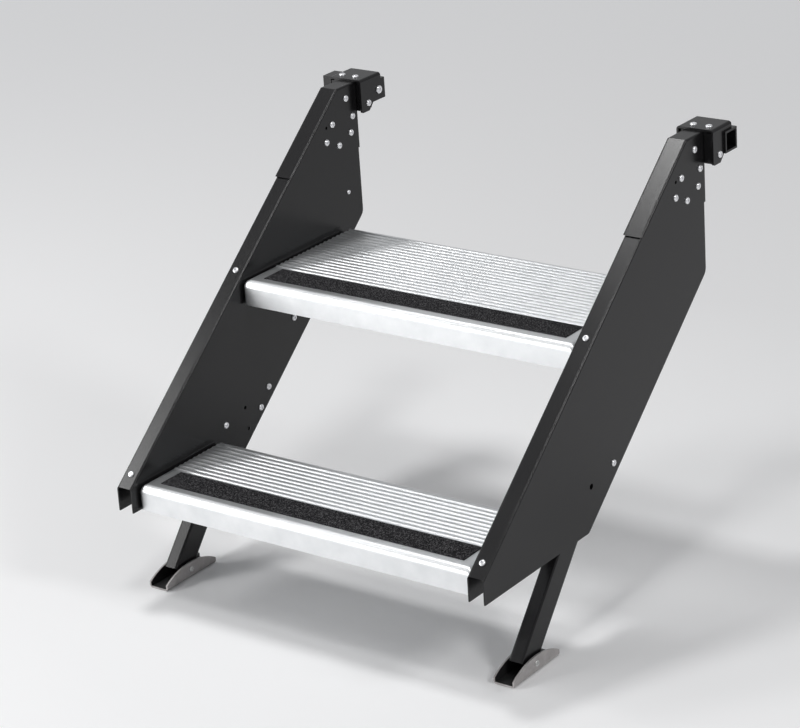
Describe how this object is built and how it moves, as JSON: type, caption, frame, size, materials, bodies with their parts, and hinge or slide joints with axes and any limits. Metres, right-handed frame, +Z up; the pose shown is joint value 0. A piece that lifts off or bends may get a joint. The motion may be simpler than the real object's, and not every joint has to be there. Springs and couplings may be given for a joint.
{
  "type": "caravan entry step",
  "caption": "Folding double entry step for a caravan door: two ribbed treads between black side rails that swing on a hinge, with sliding lock-height legs on tilting feet",
  "frame": {"origin": "on the hinge line, midway between the two sides", "axes": "+X to the right along the treads, +Y towards the vehicle, +Z up"},
  "size_m": [0.672, 0.6045, 0.5996],
  "materials": {
    "black_coat": "semi-matte black powder coat",
    "tread_alu": "satin mill finish",
    "grit": "coarse black grit",
    "bright": "bright zinc plate",
    "zinc": "dull zinc plate",
    "nylon": "black nylon"
  },
  "bodies": {
    "jamb": {"jamb_block_l": "black_coat", "pivot_bolt_l": "bright", "jamb_block_r": "black_coat", "pivot_bolt_r": "bright"},
    "stair": {"stringer_l": "black_coat", "top_cap_l": "black_coat", "saddle_l": "black_coat", "top_bolts_l": "bright", "cross_bolt_l": "bright", "saddle_spacer_l": "black_coat", "mount_tube_l": "black_coat", "cap_rivets_l": "bright", "stay_screw_l": "bright", "guide_bar_l": "nylon", "guide_block_l": "nylon", "guide_bolts_l": "bright", "through_bolt_l": "bright", "web_screws_l": "bright", "stringer_r": "black_coat", "top_cap_r": "black_coat", "saddle_r": "black_coat", "top_bolts_r": "bright", "cross_bolt_r": "bright", "saddle_spacer_r": "black_coat", "mount_tube_r": "black_coat", "cap_rivets_r": "bright", "stay_screw_r": "bright", "guide_bar_r": "nylon", "guide_block_r": "nylon", "guide_bolts_r": "bright", "through_bolt_r": "bright", "web_screws_r": "bright", "tread_lower": "tread_alu", "grit_strip_lower": "grit", "tread_bracket_lower_l": "black_coat", "tread_screws_lower_l": "bright", "tread_bracket_lower_r": "black_coat", "tread_screws_lower_r": "bright", "tread_upper": "tread_alu", "grit_strip_upper": "grit", "tread_bracket_upper_l": "black_coat", "tread_screws_upper_l": "bright", "tread_bracket_upper_r": "black_coat", "tread_screws_upper_r": "bright"},
    "leg_l_body": {"leg_l": "black_coat", "foot_pin_l": "zinc", "foot_washers_l": "nylon"},
    "leg_r_body": {"leg_r": "black_coat", "foot_pin_r": "zinc", "foot_washers_r": "nylon"},
    "foot_l_body": {"foot_l": "zinc"},
    "foot_r_body": {"foot_r": "zinc"}
  },
  "joints": [
    {"name": "fold_hinge", "type": "hinge", "parent": "jamb", "child": "stair", "pos_m": [0, 0, 0], "axis": [-1, 0, 0], "range_deg": [0, 140]},
    {"name": "leg_l_slide", "type": "slide", "parent": "stair", "child": "leg_l_body", "axis": [0, 0.6468, 0.7627], "range_m": [0, 0.075]},
    {"name": "foot_l_tilt", "type": "hinge", "parent": "leg_l_body", "child": "foot_l_body", "pos_m": [-0.2877, -0.4892, -0.5606], "axis": [1, 0, 0], "range_deg": [-25, 25]},
    {"name": "leg_r_slide", "type": "slide", "parent": "stair", "child": "leg_r_body", "axis": [0, 0.6468, 0.7627], "range_m": [0, 0.075]},
    {"name": "foot_r_tilt", "type": "hinge", "parent": "leg_r_body", "child": "foot_r_body", "pos_m": [0.2877, -0.4892, -0.5606], "axis": [1, 0, 0], "range_deg": [-25, 25]}
  ]
}
